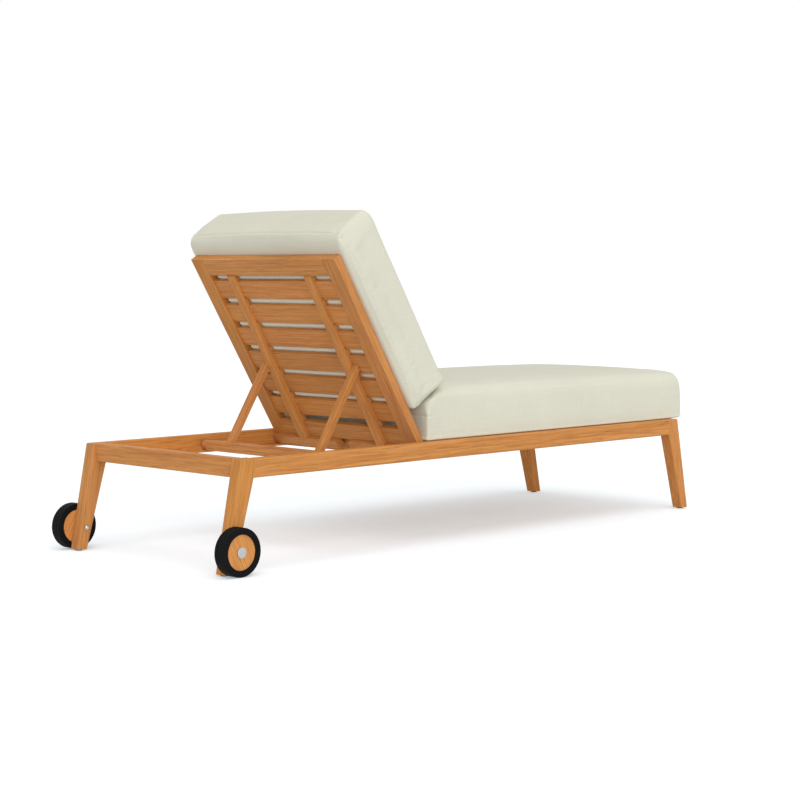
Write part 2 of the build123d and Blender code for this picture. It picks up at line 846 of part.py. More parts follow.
os.makedirs("parts", exist_ok=True)
for name, solids in {**base_nodes(), **back_nodes(), **prop_nodes(), **wheel_nodes()}.items():
    placed = [Pos(0, frame_shift, 0) * solid for solid in solids]
    pieces = [piece for item in placed for piece in item.solids()]
    export_step(Compound(children=pieces) if len(pieces) > 1 else pieces[0], f"parts/{name}.step")
    low = Compound(children=pieces).bounding_box().min
    high = Compound(children=pieces).bounding_box().max
    print(name, len(pieces), [round(v, 1) for v in (*low, *high)])
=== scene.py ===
"""Looks for the reclining lounger: oiled teak, canvas cushions, rubber tyres and steel fittings.
Lengths are in metres. X runs across, +Y points to the head end with the wheels, +Z is up."""
import json
import math
import random

import bpy
import numpy as np
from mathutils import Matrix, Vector


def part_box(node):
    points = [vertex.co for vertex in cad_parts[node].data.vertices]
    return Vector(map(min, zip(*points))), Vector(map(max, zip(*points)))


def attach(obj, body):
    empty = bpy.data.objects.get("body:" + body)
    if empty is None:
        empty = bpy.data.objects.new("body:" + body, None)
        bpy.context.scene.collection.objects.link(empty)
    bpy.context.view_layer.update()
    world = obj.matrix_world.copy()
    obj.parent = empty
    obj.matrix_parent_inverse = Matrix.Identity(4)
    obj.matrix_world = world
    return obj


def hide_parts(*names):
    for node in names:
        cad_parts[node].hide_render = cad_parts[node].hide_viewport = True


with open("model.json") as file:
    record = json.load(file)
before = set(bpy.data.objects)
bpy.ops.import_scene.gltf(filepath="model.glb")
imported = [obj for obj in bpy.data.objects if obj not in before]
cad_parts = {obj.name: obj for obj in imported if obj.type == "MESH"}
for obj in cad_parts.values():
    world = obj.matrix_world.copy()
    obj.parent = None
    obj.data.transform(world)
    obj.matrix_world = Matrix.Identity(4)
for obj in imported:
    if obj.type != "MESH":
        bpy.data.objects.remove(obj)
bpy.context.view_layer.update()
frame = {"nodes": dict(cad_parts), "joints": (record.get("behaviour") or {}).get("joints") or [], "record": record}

random.seed(7)
scene = bpy.context.scene

# Camera of the photograph
camera_place = Vector((-4.3219, 4.3460, 0.8464))
camera_forward = Vector((0.7032, -0.7076, -0.0696))
camera_lens_mm = 85.0
camera_sensor_mm = 36.0

# Light: an even sky, a soft lamp overhead and a broad fill from behind the camera
sky_strength = 0.552
lamps = {
    "overhead": (0.250, Vector((-0.35, 0.20, 1.0)), math.radians(40)),
    "fill": (0.485, Vector((-0.86, 0.50, 0.15)), math.radians(60)),
}
floor_half = 14.0
floor_drop = 0.0003
floor_glow = (0.334, 0.362, 0.377)
floor_colour = (0.830, 0.850, 0.868)

# The back's slope, and where it turns
back_slope = math.radians(58.34)
across = Vector((1, 0, 0))
along = Vector((0, 1, 0))
up_slope = Vector((0, math.cos(back_slope), math.sin(back_slope)))
out_of_slope = Vector((0, -math.sin(back_slope), math.cos(back_slope)))
pivot = next(Vector(joint["pos_m"]) for joint in frame["joints"] if joint["name"] == "backrest_recline")

# Teak: light wood, dark wood and pores in linear colour
teak_light = (0.680, 0.302, 0.090)
teak_dark = (0.400, 0.142, 0.036)
teak_pore = (0.250, 0.082, 0.022)
brightness_of = {"wheel_teak": 1.09}

# Teak's growth rings: their spacing, how they wander, and where the tree's heart lies from a piece
ring_spacing = 0.0034
ring_lean = (0.004, 0.014)
ring_sway = 0.0035
heart_along = (-9, 9)
heart_aside = (0.05, 0.12)
heart_below = (0.04, 0.16)

# Teak's noise: scale along the grain, scale across it, and detail
grain_layers = {
    "streak": (7.0, 180.0, 4.0),
    "dash": (13.0, 420.0, 3.0),
    "fibre": (28.0, 1300.0, 2.0),
    "patch": (2.5, 10.0, 1.0),
}

# Which way the grain leans in the legs and in the wheels' discs, as a share of its drop
leg_splay = 0.19
disc_lean = {"left": -0.45, "right": 0.60}

# Fabric in linear colour
fabric_colour = (0.735, 0.722, 0.600)
fabric_shade = (0.690, 0.674, 0.548)
thread_pitch = 0.0013

# Rubber, plastics and steel in linear colour
rubber_black = (0.0045, 0.0047, 0.0050)
rubber_bloom = (0.0080, 0.0082, 0.0086)
glide_colour = (0.045, 0.038, 0.030)
bush_colour = (0.060, 0.060, 0.058)
steel_dark = (0.47, 0.485, 0.49)
steel_light = (0.55, 0.56, 0.56)


class Graph:
    """A node material with a few short ways to add nodes."""

    def __init__(self, name):
        self.material = bpy.data.materials.new(name)
        self.material.use_nodes = True
        self.tree = self.material.node_tree
        self.tree.nodes.clear()
        output = self.add("ShaderNodeOutputMaterial")
        self.shader = self.add("ShaderNodeBsdfPrincipled")
        self.tree.links.new(self.shader.outputs["BSDF"], output.inputs["Surface"])

    def add(self, kind, **settings):
        node = self.tree.nodes.new(kind)
        for key, value in settings.items():
            setattr(node, key, value)
        return node

    def put(self, value, socket):
        """Links an output to a socket, or sets the socket to a plain value."""
        if isinstance(value, bpy.types.NodeSocket):
            self.tree.links.new(value, socket)
        else:
            socket.default_value = value

    def math(self, operation, a, b=0.0):
        node = self.add("ShaderNodeMath", operation=operation)
        self.put(a, node.inputs[0])
        self.put(b, node.inputs[1])
        return node.outputs[0]

    def combine(self, x, y, z):
        node = self.add("ShaderNodeCombineXYZ")
        for value, socket in zip((x, y, z), node.inputs):
            self.put(value, socket)
        return node.outputs[0]

    def separate(self, vector):
        node = self.add("ShaderNodeSeparateXYZ")
        self.put(vector, node.inputs[0])
        return node.outputs

    def mapping(self, vector, location=(0, 0, 0), rotation=(0, 0, 0), scale=(1, 1, 1)):
        node = self.add("ShaderNodeMapping")
        self.put(vector, node.inputs["Vector"])
        node.inputs["Location"].default_value = location
        node.inputs["Rotation"].default_value = rotation
        node.inputs["Scale"].default_value = scale
        return node.outputs[0]

    def noise(self, vector, detail=2.0, roughness=0.5):
        node = self.add("ShaderNodeTexNoise")
        self.put(vector, node.inputs["Vector"])
        node.inputs["Scale"].default_value = 1.0
        node.inputs["Detail"].default_value = detail
        node.inputs["Roughness"].default_value = roughness
        return node.outputs["Fac"]

    def spread(self, value, low, high, to_low=0.0, to_high=1.0):
        """A value stretched from one range to another and held within it."""
        node = self.add("ShaderNodeMapRange")
        self.put(value, node.inputs["Value"])
        for name, number in (("From Min", low), ("From Max", high), ("To Min", to_low), ("To Max", to_high)):
            node.inputs[name].default_value = number
        return node.outputs[0]

    def mix(self, factor, a, b):
        node = self.add("ShaderNodeMix", data_type="RGBA", blend_type="MIX")
        self.put(factor, node.inputs[0])
        for value, socket in ((a, node.inputs[6]), (b, node.inputs[7])):
            self.put(value if isinstance(value, bpy.types.NodeSocket) else (*value, 1.0), socket)
        return node.outputs[2]

    def bump(self, height, strength, distance):
        node = self.add("ShaderNodeBump")
        self.put(height, node.inputs["Height"])
        node.inputs["Strength"].default_value = strength
        node.inputs["Distance"].default_value = distance
        self.put(node.outputs[0], self.shader.inputs["Normal"])

    def finish(self, colour, roughness, **sockets):
        if not isinstance(colour, bpy.types.NodeSocket):
            colour = (*colour, 1.0)
        self.put(colour, self.shader.inputs["Base Color"])
        self.put(roughness, self.shader.inputs["Roughness"])
        for name, value in sockets.items():
            self.shader.inputs[name.replace("_", " ")].default_value = value
        return self.material


def teak(name, grain, brightness=1.0):
    """Solid teak whose growth rings run along a piece's grain; each piece is cut from another place."""
    graph = Graph(name)
    coordinates = graph.add("ShaderNodeTexCoord").outputs["Object"]
    turn = grain.rotation_difference(across).to_euler()
    offset = tuple(random.uniform(*span) for span in (heart_along, heart_aside, heart_below))
    placed = graph.mapping(coordinates, offset, turn)
    x, y, z = graph.separate(placed)
    lean = graph.math("MULTIPLY", x, random.uniform(*ring_lean))
    sway = graph.noise(graph.mapping(placed, scale=(1.6, 9.0, 9.0)), detail=2.0)
    sway = graph.spread(sway, 0.0, 1.0, -ring_sway, ring_sway)
    side = graph.math("ADD", graph.math("ADD", y, lean), sway)
    depth = graph.math("ADD", z, sway)
    radius = graph.add("ShaderNodeVectorMath", operation="LENGTH")
    graph.put(graph.combine(side, depth, 0.0), radius.inputs[0])
    rings = graph.math("DIVIDE", radius.outputs["Value"], ring_spacing)
    ring = graph.noise(graph.combine(rings, graph.math("MULTIPLY", x, 0.9), 0.0), detail=3.0, roughness=0.62)
    streak, dash, fibre, patch = [
        graph.noise(graph.mapping(placed, scale=(run, width, width)), detail=detail)
        for run, width, detail in grain_layers.values()
    ]
    dark = graph.spread(ring, 0.40, 0.72, 0.0, 0.60)
    colour = graph.mix(dark, teak_light, teak_dark)
    colour = graph.mix(graph.spread(streak, 0.46, 0.68, 0.0, 0.44), colour, teak_dark)
    colour = graph.mix(graph.spread(dash, 0.50, 0.74, 0.0, 0.50), colour, teak_pore)
    colour = graph.mix(graph.spread(fibre, 0.58, 0.78, 0.0, 0.40), colour, teak_pore)
    tone = graph.add("ShaderNodeHueSaturation")
    graph.put(colour, tone.inputs["Color"])
    tone.inputs["Hue"].default_value = 0.5 + random.uniform(-0.002, 0.002)
    tone.inputs["Saturation"].default_value = random.uniform(0.99, 1.03)
    level = brightness * random.uniform(0.95, 1.05)
    graph.put(graph.spread(patch, 0.3, 0.7, 0.95 * level, 1.05 * level), tone.inputs["Value"])
    height = graph.math("ADD", graph.math("MULTIPLY", fibre, 0.7), graph.math("MULTIPLY", ring, 0.3))
    graph.bump(height, 0.18, 0.0006)
    roughness = graph.spread(streak, 0.3, 0.7, 0.44, 0.60)
    return graph.finish(tone.outputs[0], roughness, Specular_IOR_Level=0.14)


def fabric(name):
    """Plain canvas: a fine weave with uneven yarns, and a soft sheen."""
    graph = Graph(name)
    source = graph.add("ShaderNodeTexCoord")
    coordinates = source.outputs["Object"]
    facing = graph.add("ShaderNodeVectorMath", operation="ABSOLUTE")
    graph.put(source.outputs["Normal"], facing.inputs[0])
    nx, ny, nz = graph.separate(facing.outputs[0])
    threads = graph.mapping(coordinates, scale=(2 * math.pi / thread_pitch,) * 3)
    waves = [graph.math("SINE", value) for value in graph.separate(threads)]
    on_x = graph.math("MULTIPLY", graph.math("MULTIPLY", waves[1], waves[2]), nx)
    on_y = graph.math("MULTIPLY", graph.math("MULTIPLY", waves[0], waves[2]), ny)
    on_z = graph.math("MULTIPLY", graph.math("MULTIPLY", waves[0], waves[1]), nz)
    weave = graph.math("ADD", graph.math("ADD", on_x, on_y), on_z)
    slub_x = graph.noise(graph.mapping(coordinates, scale=(14, 420, 420)), detail=2.0)
    slub_y = graph.noise(graph.mapping(coordinates, scale=(420, 14, 420)), detail=2.0)
    slub_z = graph.noise(graph.mapping(coordinates, scale=(420, 420, 14)), detail=2.0)
    slub = graph.math("ADD", graph.math("ADD", slub_x, slub_y), slub_z)
    cloud = graph.noise(graph.mapping(coordinates, scale=(5, 5, 5)), detail=2.0)
    tone = graph.spread(slub, 1.2, 1.8, 0.0, 1.0)
    colour = graph.mix(tone, fabric_shade, fabric_colour)
    soft = graph.spread(cloud, 0.3, 0.7, 0.975, 1.02)
    shade = graph.add("ShaderNodeHueSaturation")
    graph.put(colour, shade.inputs["Color"])
    graph.put(soft, shade.inputs["Value"])
    height = graph.math("ADD", graph.math("MULTIPLY", weave, 0.35), slub)
    graph.bump(height, 0.22, 0.0005)
    return graph.finish(
        shade.outputs[0], graph.spread(slub, 1.2, 1.8, 0.86, 0.96),
        Specular_IOR_Level=0.18, Sheen_Weight=0.12, Sheen_Roughness=0.5,
    )


def rubber(name):
    """Near-black moulded rubber with a dusty bloom."""
    graph = Graph(name)
    coordinates = graph.add("ShaderNodeTexCoord").outputs["Object"]
    bloom = graph.noise(graph.mapping(coordinates, scale=(18, 18, 18)), detail=4.0)
    grit = graph.noise(graph.mapping(coordinates, scale=(900, 900, 900)), detail=2.0)
    colour = graph.mix(graph.spread(bloom, 0.35, 0.75), rubber_black, rubber_bloom)
    graph.bump(grit, 0.25, 0.0003)
    return graph.finish(colour, graph.spread(bloom, 0.3, 0.7, 0.58, 0.74), Specular_IOR_Level=0.07)


def plastic(name, colour):
    """Moulded plastic with a fine spark texture."""
    graph = Graph(name)
    coordinates = graph.add("ShaderNodeTexCoord").outputs["Object"]
    grit = graph.noise(graph.mapping(coordinates, scale=(1400, 1400, 1400)), detail=2.0)
    lighter = tuple(min(1.0, part * 1.5) for part in colour)
    graph.bump(grit, 0.2, 0.0002)
    return graph.finish(
        graph.mix(graph.spread(grit, 0.35, 0.65), colour, lighter), graph.spread(grit, 0.3, 0.7, 0.42, 0.58)
    )


def steel(name):
    """Satin stainless steel, turned, with faint rings and a soft haze."""
    graph = Graph(name)
    coordinates = graph.add("ShaderNodeTexCoord").outputs["Object"]
    brushed = graph.noise(graph.mapping(coordinates, scale=(900, 60, 60)), detail=3.0)
    haze = graph.noise(graph.mapping(coordinates, scale=(160, 160, 160)), detail=2.0)
    colour = graph.mix(graph.spread(haze, 0.3, 0.7), steel_dark, steel_light)
    graph.bump(brushed, 0.12, 0.0002)
    return graph.finish(colour, graph.spread(brushed, 0.3, 0.7, 0.26, 0.42), Metallic=1.0)


def dress(node, material):
    """Gives a CAD node its material."""
    mesh = frame["nodes"][node].data
    mesh.materials.clear()
    mesh.materials.append(material)


leg_grain = {
    end: Vector((0, end * leg_splay, -1)).normalized()
    for end in (-1, 1)
}
grain_of = {
    "side_rail": along,
    "seat_ledger": along,
    "rack": along,
    "leg_head": leg_grain[1],
    "leg_foot": leg_grain[-1],
    "stile": up_slope,
    "batten": up_slope,
}


def grain_for(node):
    """The direction that a wooden piece's grain runs in."""
    for start, grain in grain_of.items():
        if node.startswith(start):
            return grain
    if node.startswith("prop_arm"):
        low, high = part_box(node)
        return Vector((0, high.y - low.y, low.z - high.z)).normalized()
    if node.startswith("wheel_disc"):
        return Vector((0, disc_lean["left" if node.endswith("left") else "right"], -1)).normalized()
    return across


def dress_nodes():
    """A material for every CAD node, with its own cut of wood for each wooden piece."""
    shared = {
        "tyre_rubber": rubber("rubber"),
        "glide_plastic": plastic("glide_plastic", glide_colour),
        "bush_plastic": plastic("bush_plastic", bush_colour),
        "steel": steel("steel"),
        "cushion_fabric": fabric("canvas"),
    }
    for row in frame["record"]["subparts"]:
        node = row["node"]
        slot = row["material_slot"]
        material = shared.get(slot) or teak(f"teak_{node}", grain_for(node), brightness_of.get(slot, 1.0))
        dress(node, material)
    return shared


def stations(low, high, step, extra):
    """Places of grid lines from low to high, about a step apart, with extra lines where wanted."""
    count = max(2, round((high - low) / step))
    places = [low + (high - low) * index / count for index in range(count + 1)]
    kept = [place for place in places if all(abs(place - line) > step * 0.45 for line in extra)]
    kept += [low, high, *extra]
    return sorted(set(kept))


def box_grid(name, axes):
    """A closed box of quads, with grid lines at the given places along each axis."""
    index = {}
    points = []
    faces = []
    last = [len(axis) - 1 for axis in axes]

    def vertex(*key):
        if key not in index:
            index[key] = len(points)
            points.append([axis[step] for axis, step in zip(axes, key)])
        return index[key]

    def wall(flat, level, outward):
        """The wall of the box at one end of the axis called flat."""
        first, second = [axis for axis in range(3) if axis != flat]
        for i in range(last[first]):
            for j in range(last[second]):
                corners = []
                for di, dj in ((0, 0), (1, 0), (1, 1), (0, 1)):
                    key = [level, level, level]
                    key[first] = i + di
                    key[second] = j + dj
                    corners.append(vertex(*key))
                faces.append(corners if outward else corners[::-1])

    for flat in range(3):
        wall(flat, 0, flat == 1)
        wall(flat, last[flat], flat != 1)
    mesh = bpy.data.meshes.new(name)
    mesh.from_pydata(points, [], faces)
    mesh.update()
    piece = bpy.data.objects.new(name, mesh)
    scene.collection.objects.link(piece)
    return piece


def read_points(mesh):
    values = np.zeros(len(mesh.vertices) * 3)
    mesh.vertices.foreach_get("co", values)
    return values.reshape(-1, 3)


def write_points(mesh, points):
    mesh.vertices.foreach_set("co", np.asarray(points, np.float32).ravel())
    mesh.update()


def smooth(value):
    """A share from 0 to 1, eased at both ends."""
    held = np.clip(value, 0.0, 1.0)
    return held * held * (3 - 2 * held)


def window(value, low, high, fade):
    """1 between low and high, easing to 0 over the fade outside."""
    return smooth((value - low + fade) / fade) * smooth((high + fade - value) / fade)


def rounded(points, low, high, low_radii, high_radii):
    """Box points drawn in to round its edges and corners; the radii may differ from point to point."""
    middle = (low + high) / 2
    radii = np.where(points < middle, low_radii, high_radii)
    core = np.clip(points, low + low_radii, high - high_radii)
    out = (points - core) / radii
    reach = np.abs(out).max(axis=1)
    length = np.linalg.norm(out, axis=1)
    scale = np.divide(reach, length, out=np.ones_like(reach), where=length > 1e-9)
    return core + (points - core) * scale[:, None]


def side_share(values, low, high):
    """Where values lie between two sides, from -1 to 1."""
    return (values - (low + high) / 2) / ((high - low) / 2)


def soft_least(values, limits, width):
    """The lesser of two values, with the turn between them eased over a width."""
    return values - width * np.logaddexp(0.0, (values - limits) / width)


def seam(points, normals, distance, travel, share):
    """Presses in a stitched seam, with the cloth beside it puckered a little."""
    press = seam_depth * np.exp(-(distance / seam_width) ** 2)
    wave = np.sin(travel / pucker_pitch + 1.7 * np.sin(travel / pucker_drift))
    wave = wave * np.sin(travel / pucker_patch + 0.8)
    press += pucker_depth * wave * np.exp(-np.abs(distance) / pucker_reach)
    return points - normals * (press * share)[:, None]


def creases(points, normals, places):
    """Presses in short creases, each deepest at its start."""
    moved = points.copy()
    for start, end, depth in places:
        start = np.array(start)
        run = np.array(end) - start
        share = np.clip((points - start) @ run / (run @ run), 0, 1)
        distance = np.linalg.norm(points - start - share[:, None] * run, axis=1)
        press = depth * (1 - 0.8 * share) * np.exp(-(distance / crease_width) ** 2)
        rim = 0.45 * depth * (1 - share) * np.exp(-((distance - 2.2 * crease_width) / crease_width) ** 2)
        moved -= normals * (press - rim)[:, None]
    return moved


# Seat cushion; each pair is a radius low on it and how much that grows to the top
seat_low, seat_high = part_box("seat_cushion")
seat_side_inset = 0.001
seat_foot_overhang = 0.015
seat_side_radius = (0.014, 0.026)
seat_foot_radius = (0.018, 0.016)
seat_rear_radius = (0.010, 0.028)
seat_crown = 0.026
seat_rise = 0.016
seat_step = 0.014
seat_side_bow = 0.004
seat_seam = 0.396
rear_clearance = 0.0032
rear_ease = 0.007

# The seat cushion's top and bottom edges: a radius and how much it grows to the foot end
seat_top_radius = (0.033, 0.010)
seat_bottom_radius = (0.012, 0.016)

# Back cushion, across, up the slope and out of it, from the pivot
cushion_half = 0.3500
cushion_foot = 0.1260
cushion_head = 0.7520
cushion_back = 0.0320
cushion_front = 0.1980
cushion_seam = 0.0530
cushion_crown = 0.005
cushion_step = 0.010
foot_lean = -0.0040
lean_depth = 0.133
head_bow = 0.008
head_tuck = 0.010
back_side_bow = 0.003
bulge_half = 0.262
bulge_foot = 0.165
bulge_head = 0.612
bulge_depth = 0.0082
gap_bulge = 0.0090
gap_half = 0.0102
batten_ease = 0.009

# The back cushion's edges: a radius at its back and how much it grows to the front
back_side_radius = (0.016, 0.005)
back_side_growth_at_head = 0.008
back_foot_radius = (0.026, -0.006)
back_head_radius = (0.050, 0.006)
back_front_radius = (0.020, 0.006)
back_rear_radius = 0.021

# Grid lines near edges, seams and the gaps between slats, and how near the bottom a point is held
end_lines = (0.004, 0.009, 0.014, 0.020, 0.027)
seat_seam_shifts = (-0.004, -0.0015, 0.0015, 0.004)
back_seam_shifts = (-0.009, -0.004, -0.0015, 0.0015, 0.004, 0.009)
gap_shifts = (-0.0112, -0.0075, 0.0, 0.0075, 0.0112)
held_within = 0.001

# Cloth simulation, and the most that it may move a point
cloth_settings = {
    "quality": 4,
    "tension_stiffness": 30,
    "compression_stiffness": 30,
    "shear_stiffness": 12,
    "bending_stiffness": 2.0,
    "use_pressure": True,
    "uniform_pressure_force": 4.0,
}
swell_frames = 20
swell_cap = 0.006

# Seams and the creases that end in them: places in each cushion's own axes
seam_depth = 0.0026
seam_width = 0.0024
pucker_depth = 0.0006
pucker_reach = 0.012
pucker_pitch = 0.0034
pucker_drift = 0.023
pucker_patch = 0.0173
crease_width = 0.0032
back_creases = [
    ((-0.318, 0.757, 0.064), (-0.343, 0.748, 0.056), 0.0026),
    ((-0.306, 0.752, 0.046), (-0.336, 0.748, 0.043), 0.0020),
    ((-0.354, 0.742, 0.060), (-0.354, 0.700, 0.072), 0.0016),
    ((0.343, 0.748, 0.056), (0.322, 0.757, 0.066), 0.0026),
    ((0.336, 0.748, 0.043), (0.310, 0.752, 0.047), 0.0018),
]
seat_creases = [
    ((-0.352, 0.226, 0.3965), (-0.353, 0.198, 0.3915), 0.0026),
    ((-0.352, 0.226, 0.4020), (-0.353, 0.206, 0.4080), 0.0016),
    ((0.352, 0.226, 0.3965), (0.353, 0.198, 0.3915), 0.0026),
]


def slope_to_row(points):
    """Points across, up the slope and out of it, in the row frame."""
    return (
        np.array(pivot) + points[:, 0:1] * np.array(across) + points[:, 1:2] * np.array(up_slope)
        + points[:, 2:3] * np.array(out_of_slope)
    )


def row_to_slope(points):
    """The way back from the row frame."""
    from_pivot = points - np.array(pivot)
    return np.stack([from_pivot @ np.array(axis) for axis in (across, up_slope, out_of_slope)], axis=1)


def grown(radius, share):
    """A radius that grows with a share, from a pair of radius and growth."""
    return radius[0] + radius[1] * share


def seat_form(points):
    """The seat cushion's shape: rounded, crowned, bowed, and pressed down under the back cushion."""
    low = np.array(seat_low) + (seat_side_inset, -seat_foot_overhang, 0.0)
    high = np.array(seat_high) - (seat_side_inset, 0.0, seat_crown)
    level = smooth((points[:, 2] - low[2]) / (high[2] - low[2]) * 1.9 - 0.9)
    side = grown(seat_side_radius, level)
    foot = grown(seat_foot_radius, level)
    rear = grown(seat_rear_radius, level)
    top = seat_top_radius[0] + seat_top_radius[1] * (high[1] - points[:, 1]) / (high[1] - low[1])
    near_foot = smooth((low[1] + 0.06 - points[:, 1]) / 0.05)
    low_radii = np.stack([side, foot, grown(seat_bottom_radius, near_foot)], axis=1)
    high_radii = np.stack([side, rear, top], axis=1)
    shaped = rounded(points, low, high, low_radii, high_radii)
    a = side_share(points[:, 0], low[0], high[0])
    b = side_share(points[:, 1], low[1], high[1])
    c = side_share(points[:, 2], low[2], high[2])
    lift = (1 - np.abs(a) ** 2.2) * (1 - np.abs(b) ** 3.0) * smooth((c + 0.2) / 1.2)
    shaped[:, 2] += seat_rise * lift
    waist = 1 - ((c + 0.1) / 1.1) ** 2
    shaped[:, 0] += seat_side_bow * np.sign(a) * smooth(np.abs(a) * 4 - 3) * (1 - b ** 4) * waist
    shaped[:, 1] += seat_side_bow * np.sign(b) * smooth(np.abs(b) * 8 - 7) * (1 - a ** 4) * waist
    from_pivot = shaped[:, 1:] - np.array(pivot)[1:]
    slope = np.array(up_slope)[1:]
    normal = np.array(out_of_slope)[1:]
    up = from_pivot @ slope
    out = from_pivot @ normal
    limit = cushion_foot + foot_lean * (out - cushion_seam) / lean_depth - rear_clearance
    moved = soft_least(up, limit, rear_ease) - up
    shaped[:, 1:] += moved[:, None] * slope
    return shaped


def slat_gaps():
    """Middles of the gaps between the back's slats, up the slope, and the width of a batten."""
    middles = []
    for index in range(1, 7):
        low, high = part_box(f"back_slat_{index}")
        middles.append(((low + high) / 2 - pivot).dot(up_slope))
    pitch = (middles[0] - middles[-1]) / 5
    batten_low, batten_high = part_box("batten_right")
    return [middle + pitch / 2 for middle in middles], (batten_low.x, batten_high.x)


def back_form(points):
    """The back cushion's shape in the back's own frame."""
    low = np.array([-cushion_half, cushion_foot, cushion_back])
    high = np.array([cushion_half, cushion_head, cushion_front])
    share = (points[:, 2] - low[2]) / (high[2] - low[2])
    level = smooth(share)
    up = (points[:, 1] - low[1]) / (high[1] - low[1])
    near_head = smooth((up - 0.80) / 0.18)
    side = grown(back_side_radius, level) + back_side_growth_at_head * level * near_head
    foot = grown(back_foot_radius, level)
    head = grown(back_head_radius, level)
    front = grown(back_front_radius, smooth(up * 5 - 3))
    low_radii = np.stack([side, foot, np.full_like(side, back_rear_radius)], axis=1)
    high_radii = np.stack([side, head, front], axis=1)
    shaped = rounded(points, low, high, low_radii, high_radii)
    a = side_share(points[:, 0], low[0], high[0])
    b = side_share(points[:, 1], low[1], high[1])
    c = side_share(points[:, 2], low[2], high[2])
    shaped[:, 2] += cushion_crown * (1 - np.abs(a) ** 3) * (1 - np.abs(b) ** 3) * smooth(c)
    shaped[:, 1] += foot_lean * (1 - smooth(up * 3)) * (shaped[:, 2] - cushion_seam) / lean_depth
    shaped[:, 1] -= head_tuck * smooth(b * 3 - 2) * (1 - smooth((c + 1) * 1.1))
    shaped[:, 1] += head_bow * (1 - a ** 2) * smooth(b * 3 - 2) * smooth(c + 0.5)
    waist = 1 - c ** 2
    shaped[:, 0] += back_side_bow * np.sign(a) * smooth(np.abs(a) * 4 - 3) * (1 - b ** 4) * waist
    on_back = smooth(-c * 12 - 11)
    press = window(points[:, 0], -bulge_half, bulge_half, 0.010)
    press *= window(points[:, 1], bulge_foot, bulge_head, 0.014) * on_back
    shaped[:, 2] -= bulge_depth * press
    gaps, (batten_low, batten_high) = slat_gaps()
    free = 1 - window(np.abs(points[:, 0]), batten_low, batten_high, batten_ease)
    swell = sum(np.maximum(0, 1 - ((points[:, 1] - middle) / gap_half) ** 2) for middle in gaps)
    shaped[:, 2] -= gap_bulge * swell * free * press
    return shaped


def simulate(pieces):
    """Lets each cushion swell a little as filled cloth does, held where it lies on something."""
    for piece, pinned in pieces:
        group = piece.vertex_groups.new(name="held")
        group.add([int(i) for i in np.flatnonzero(pinned)], 1.0, "REPLACE")
        cloth = piece.modifiers.new("swell", "CLOTH").settings
        for key, value in cloth_settings.items():
            setattr(cloth, key, value)
        cloth.vertex_group_mass = "held"
        cloth.effector_weights.gravity = 0.0
    scene.frame_start = 1
    scene.frame_end = swell_frames
    for number in range(1, swell_frames + 1):
        scene.frame_set(number)
    graph = bpy.context.evaluated_depsgraph_get()
    for piece, pinned in pieces:
        start = read_points(piece.data)
        swollen = read_points(piece.evaluated_get(graph).to_mesh())
        move = swollen - start
        length = np.linalg.norm(move, axis=1, keepdims=True)
        cap = swell_cap / np.maximum(length, swell_cap)
        piece.modifiers.clear()
        write_points(piece.data, start + move * cap)
        print(piece.name, "swelled by up to", round(float(length.max()), 4))
    scene.frame_set(1)


def read_normals(mesh):
    values = np.zeros(len(mesh.vertices) * 3)
    mesh.vertex_normals.foreach_get("vector", values)
    return values.reshape(-1, 3)


def seat_seams(points, normals):
    """The seam across the seat cushion's rear end, just turning its corners, and its creases."""
    share = smooth((points[:, 1] - 0.196) / 0.024) * smooth((0.8 - np.abs(normals[:, 2])) / 0.3)
    sewn = seam(points, normals, points[:, 2] - seat_seam, points[:, 0] + points[:, 1], share)
    return creases(sewn, normals, seat_creases)


def back_seams(points, normals):
    """The seam round the back cushion's edge, and its creases."""
    placed = row_to_slope(points)
    turned = row_to_slope(normals + np.array(pivot))
    share = smooth((0.85 - np.abs(turned[:, 2])) / 0.3)
    sewn = seam(placed, turned, placed[:, 2] - cushion_seam, placed[:, 0] + placed[:, 1], share)
    return slope_to_row(creases(sewn, turned, back_creases))


def finish_cushion(piece, node, body, material, sew):
    piece.data.polygons.foreach_set("use_smooth", [True] * len(piece.data.polygons))
    refine = piece.modifiers.new("refine", "SUBSURF")
    refine.levels = 1
    refine.render_levels = 1
    bpy.context.view_layer.objects.active = piece
    bpy.ops.object.modifier_apply(modifier=refine.name)
    write_points(piece.data, sew(read_points(piece.data), read_normals(piece.data)))
    piece.data.materials.append(material)
    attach(piece, body)
    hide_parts(node)


def ends(low, high):
    """Extra grid lines near both ends, where a cushion's edges turn."""
    return [place for line in end_lines for place in (low + line, high - line)]


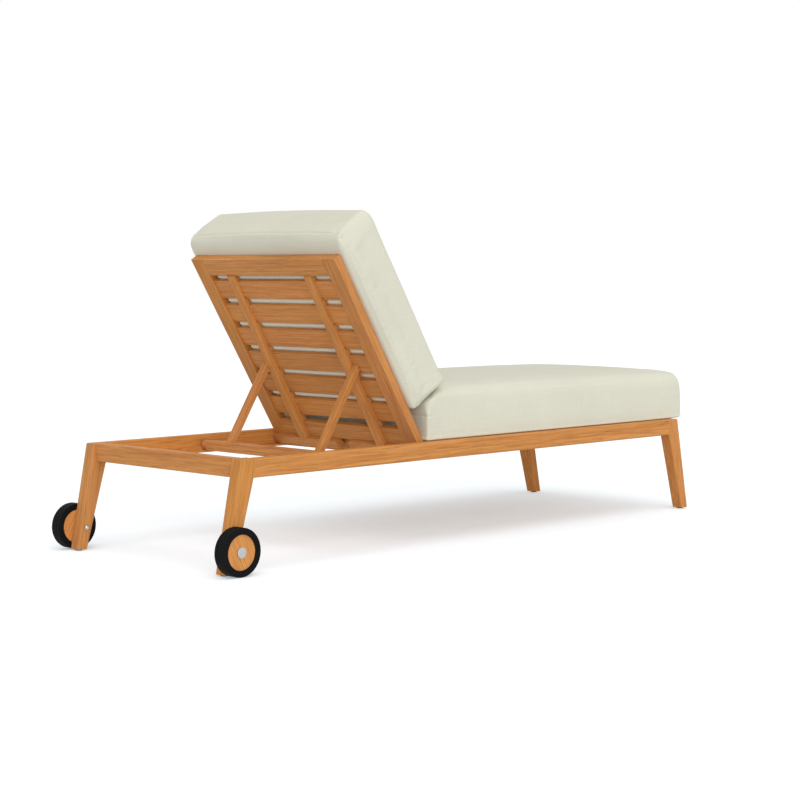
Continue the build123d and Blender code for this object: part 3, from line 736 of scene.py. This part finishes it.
def make_cushions(material):
    """Both cushions' covers, each around its CAD solid."""
    seat_lines = [seat_seam + shift for shift in seat_seam_shifts]
    seat_axes = [
        stations(low, high, seat_step, ends(low, high) + more)
        for low, high, more in (
            (seat_low[0] + seat_side_inset, seat_high[0] - seat_side_inset, []),
            (seat_low[1] - seat_foot_overhang, seat_high[1], []),
            (seat_low[2], seat_high[2] - seat_crown, seat_lines),
        )
    ]
    seat = box_grid("seat_cushion_cover", seat_axes)
    flat = read_points(seat.data)
    seat_held = flat[:, 2] < seat_low[2] + held_within
    write_points(seat.data, seat_form(flat))

    seam_lines = [cushion_seam + shift for shift in back_seam_shifts]
    gap_lines = [
        middle + shift for middle in slat_gaps()[0] for shift in gap_shifts
        if cushion_foot + 0.03 < middle + shift < bulge_head
    ]
    back_axes = [
        stations(-cushion_half, cushion_half, cushion_step, ends(-cushion_half, cushion_half)),
        stations(cushion_foot, cushion_head, cushion_step, gap_lines + ends(cushion_foot, cushion_head)),
        stations(
            cushion_back, cushion_front, cushion_step,
            seam_lines + ends(cushion_back, cushion_front)[1::2],
        ),
    ]
    back = box_grid("back_cushion_cover", back_axes)
    flat = read_points(back.data)
    back_held = flat[:, 2] < cushion_back + held_within
    write_points(back.data, slope_to_row(back_form(flat)))

    simulate([(seat, seat_held), (back, back_held)])
    finish_cushion(seat, "seat_cushion", "base", material, seat_seams)
    finish_cushion(back, "back_cushion", "backrest", material, back_seams)


def make_floor():
    """A plain pale floor that stays white in the open and keeps the lounger's shadow."""
    mesh = bpy.data.meshes.new("floor")
    half = floor_half
    corners = [(-half, -half, 0), (half, -half, 0), (half, half, 0), (-half, half, 0)]
    mesh.from_pydata([(x, y, -floor_drop) for x, y, z in corners], [], [(0, 1, 2, 3)])
    floor = bpy.data.objects.new("floor", mesh)
    scene.collection.objects.link(floor)
    graph = Graph("floor_paper")
    graph.finish(floor_colour, 1.0, Specular_IOR_Level=0.0)
    glow = graph.add("ShaderNodeEmission")
    glow.inputs["Color"].default_value = (*floor_glow, 1)
    rays = graph.add("ShaderNodeLightPath")
    seen = graph.math("MAXIMUM", rays.outputs["Is Camera Ray"], rays.outputs["Is Glossy Ray"])
    seen = graph.math("MAXIMUM", seen, rays.outputs["Is Transmission Ray"])
    graph.put(seen, glow.inputs["Strength"])
    total = graph.add("ShaderNodeAddShader")
    output = next(node for node in graph.tree.nodes if node.type == "OUTPUT_MATERIAL")
    graph.put(graph.shader.outputs[0], total.inputs[0])
    graph.put(glow.outputs[0], total.inputs[1])
    graph.put(total.outputs[0], output.inputs["Surface"])
    mesh.materials.append(graph.material)


def make_world():
    """An even sky that looks white to the camera and in polished metal."""
    world = bpy.data.worlds.new("studio")
    scene.world = world
    world.use_nodes = True
    tree = world.node_tree
    tree.nodes.clear()
    output = tree.nodes.new("ShaderNodeOutputWorld")
    light = tree.nodes.new("ShaderNodeBackground")
    light.inputs["Color"].default_value = (1, 1, 1, 1)
    light.inputs["Strength"].default_value = sky_strength
    seen = tree.nodes.new("ShaderNodeBackground")
    seen.inputs["Color"].default_value = (1, 1, 1, 1)
    seen.inputs["Strength"].default_value = 1.0
    rays = tree.nodes.new("ShaderNodeLightPath")
    mixer = tree.nodes.new("ShaderNodeMixShader")
    seen_by = [rays.outputs[name] for name in ("Is Camera Ray", "Is Glossy Ray", "Is Transmission Ray")]
    for index in (1, 2):
        either = tree.nodes.new("ShaderNodeMath")
        either.operation = "MAXIMUM"
        tree.links.new(seen_by[0], either.inputs[0])
        tree.links.new(seen_by[index], either.inputs[1])
        seen_by[0] = either.outputs[0]
    tree.links.new(seen_by[0], mixer.inputs[0])
    tree.links.new(light.outputs[0], mixer.inputs[1])
    tree.links.new(seen.outputs[0], mixer.inputs[2])
    tree.links.new(mixer.outputs[0], output.inputs["Surface"])


def make_light_and_camera():
    """The lamps and the photograph's camera."""
    for name, (share, light_from, angle) in lamps.items():
        lamp = bpy.data.lights.new(name, "SUN")
        lamp.energy = share * math.pi
        lamp.angle = angle
        sun = bpy.data.objects.new(name, lamp)
        sun.rotation_euler = light_from.to_track_quat("Z", "Y").to_euler()
        scene.collection.objects.link(sun)
    lens = bpy.data.cameras.new("camera")
    lens.lens = camera_lens_mm
    lens.sensor_width = camera_sensor_mm
    camera = bpy.data.objects.new("camera", lens)
    camera.location = camera_place
    camera.rotation_euler = camera_forward.to_track_quat("-Z", "Y").to_euler()
    scene.collection.objects.link(camera)
    scene.camera = camera
    scene.view_settings.view_transform = "Standard"


materials = dress_nodes()
make_cushions(materials["cushion_fabric"])
make_floor()
make_world()
make_light_and_camera()
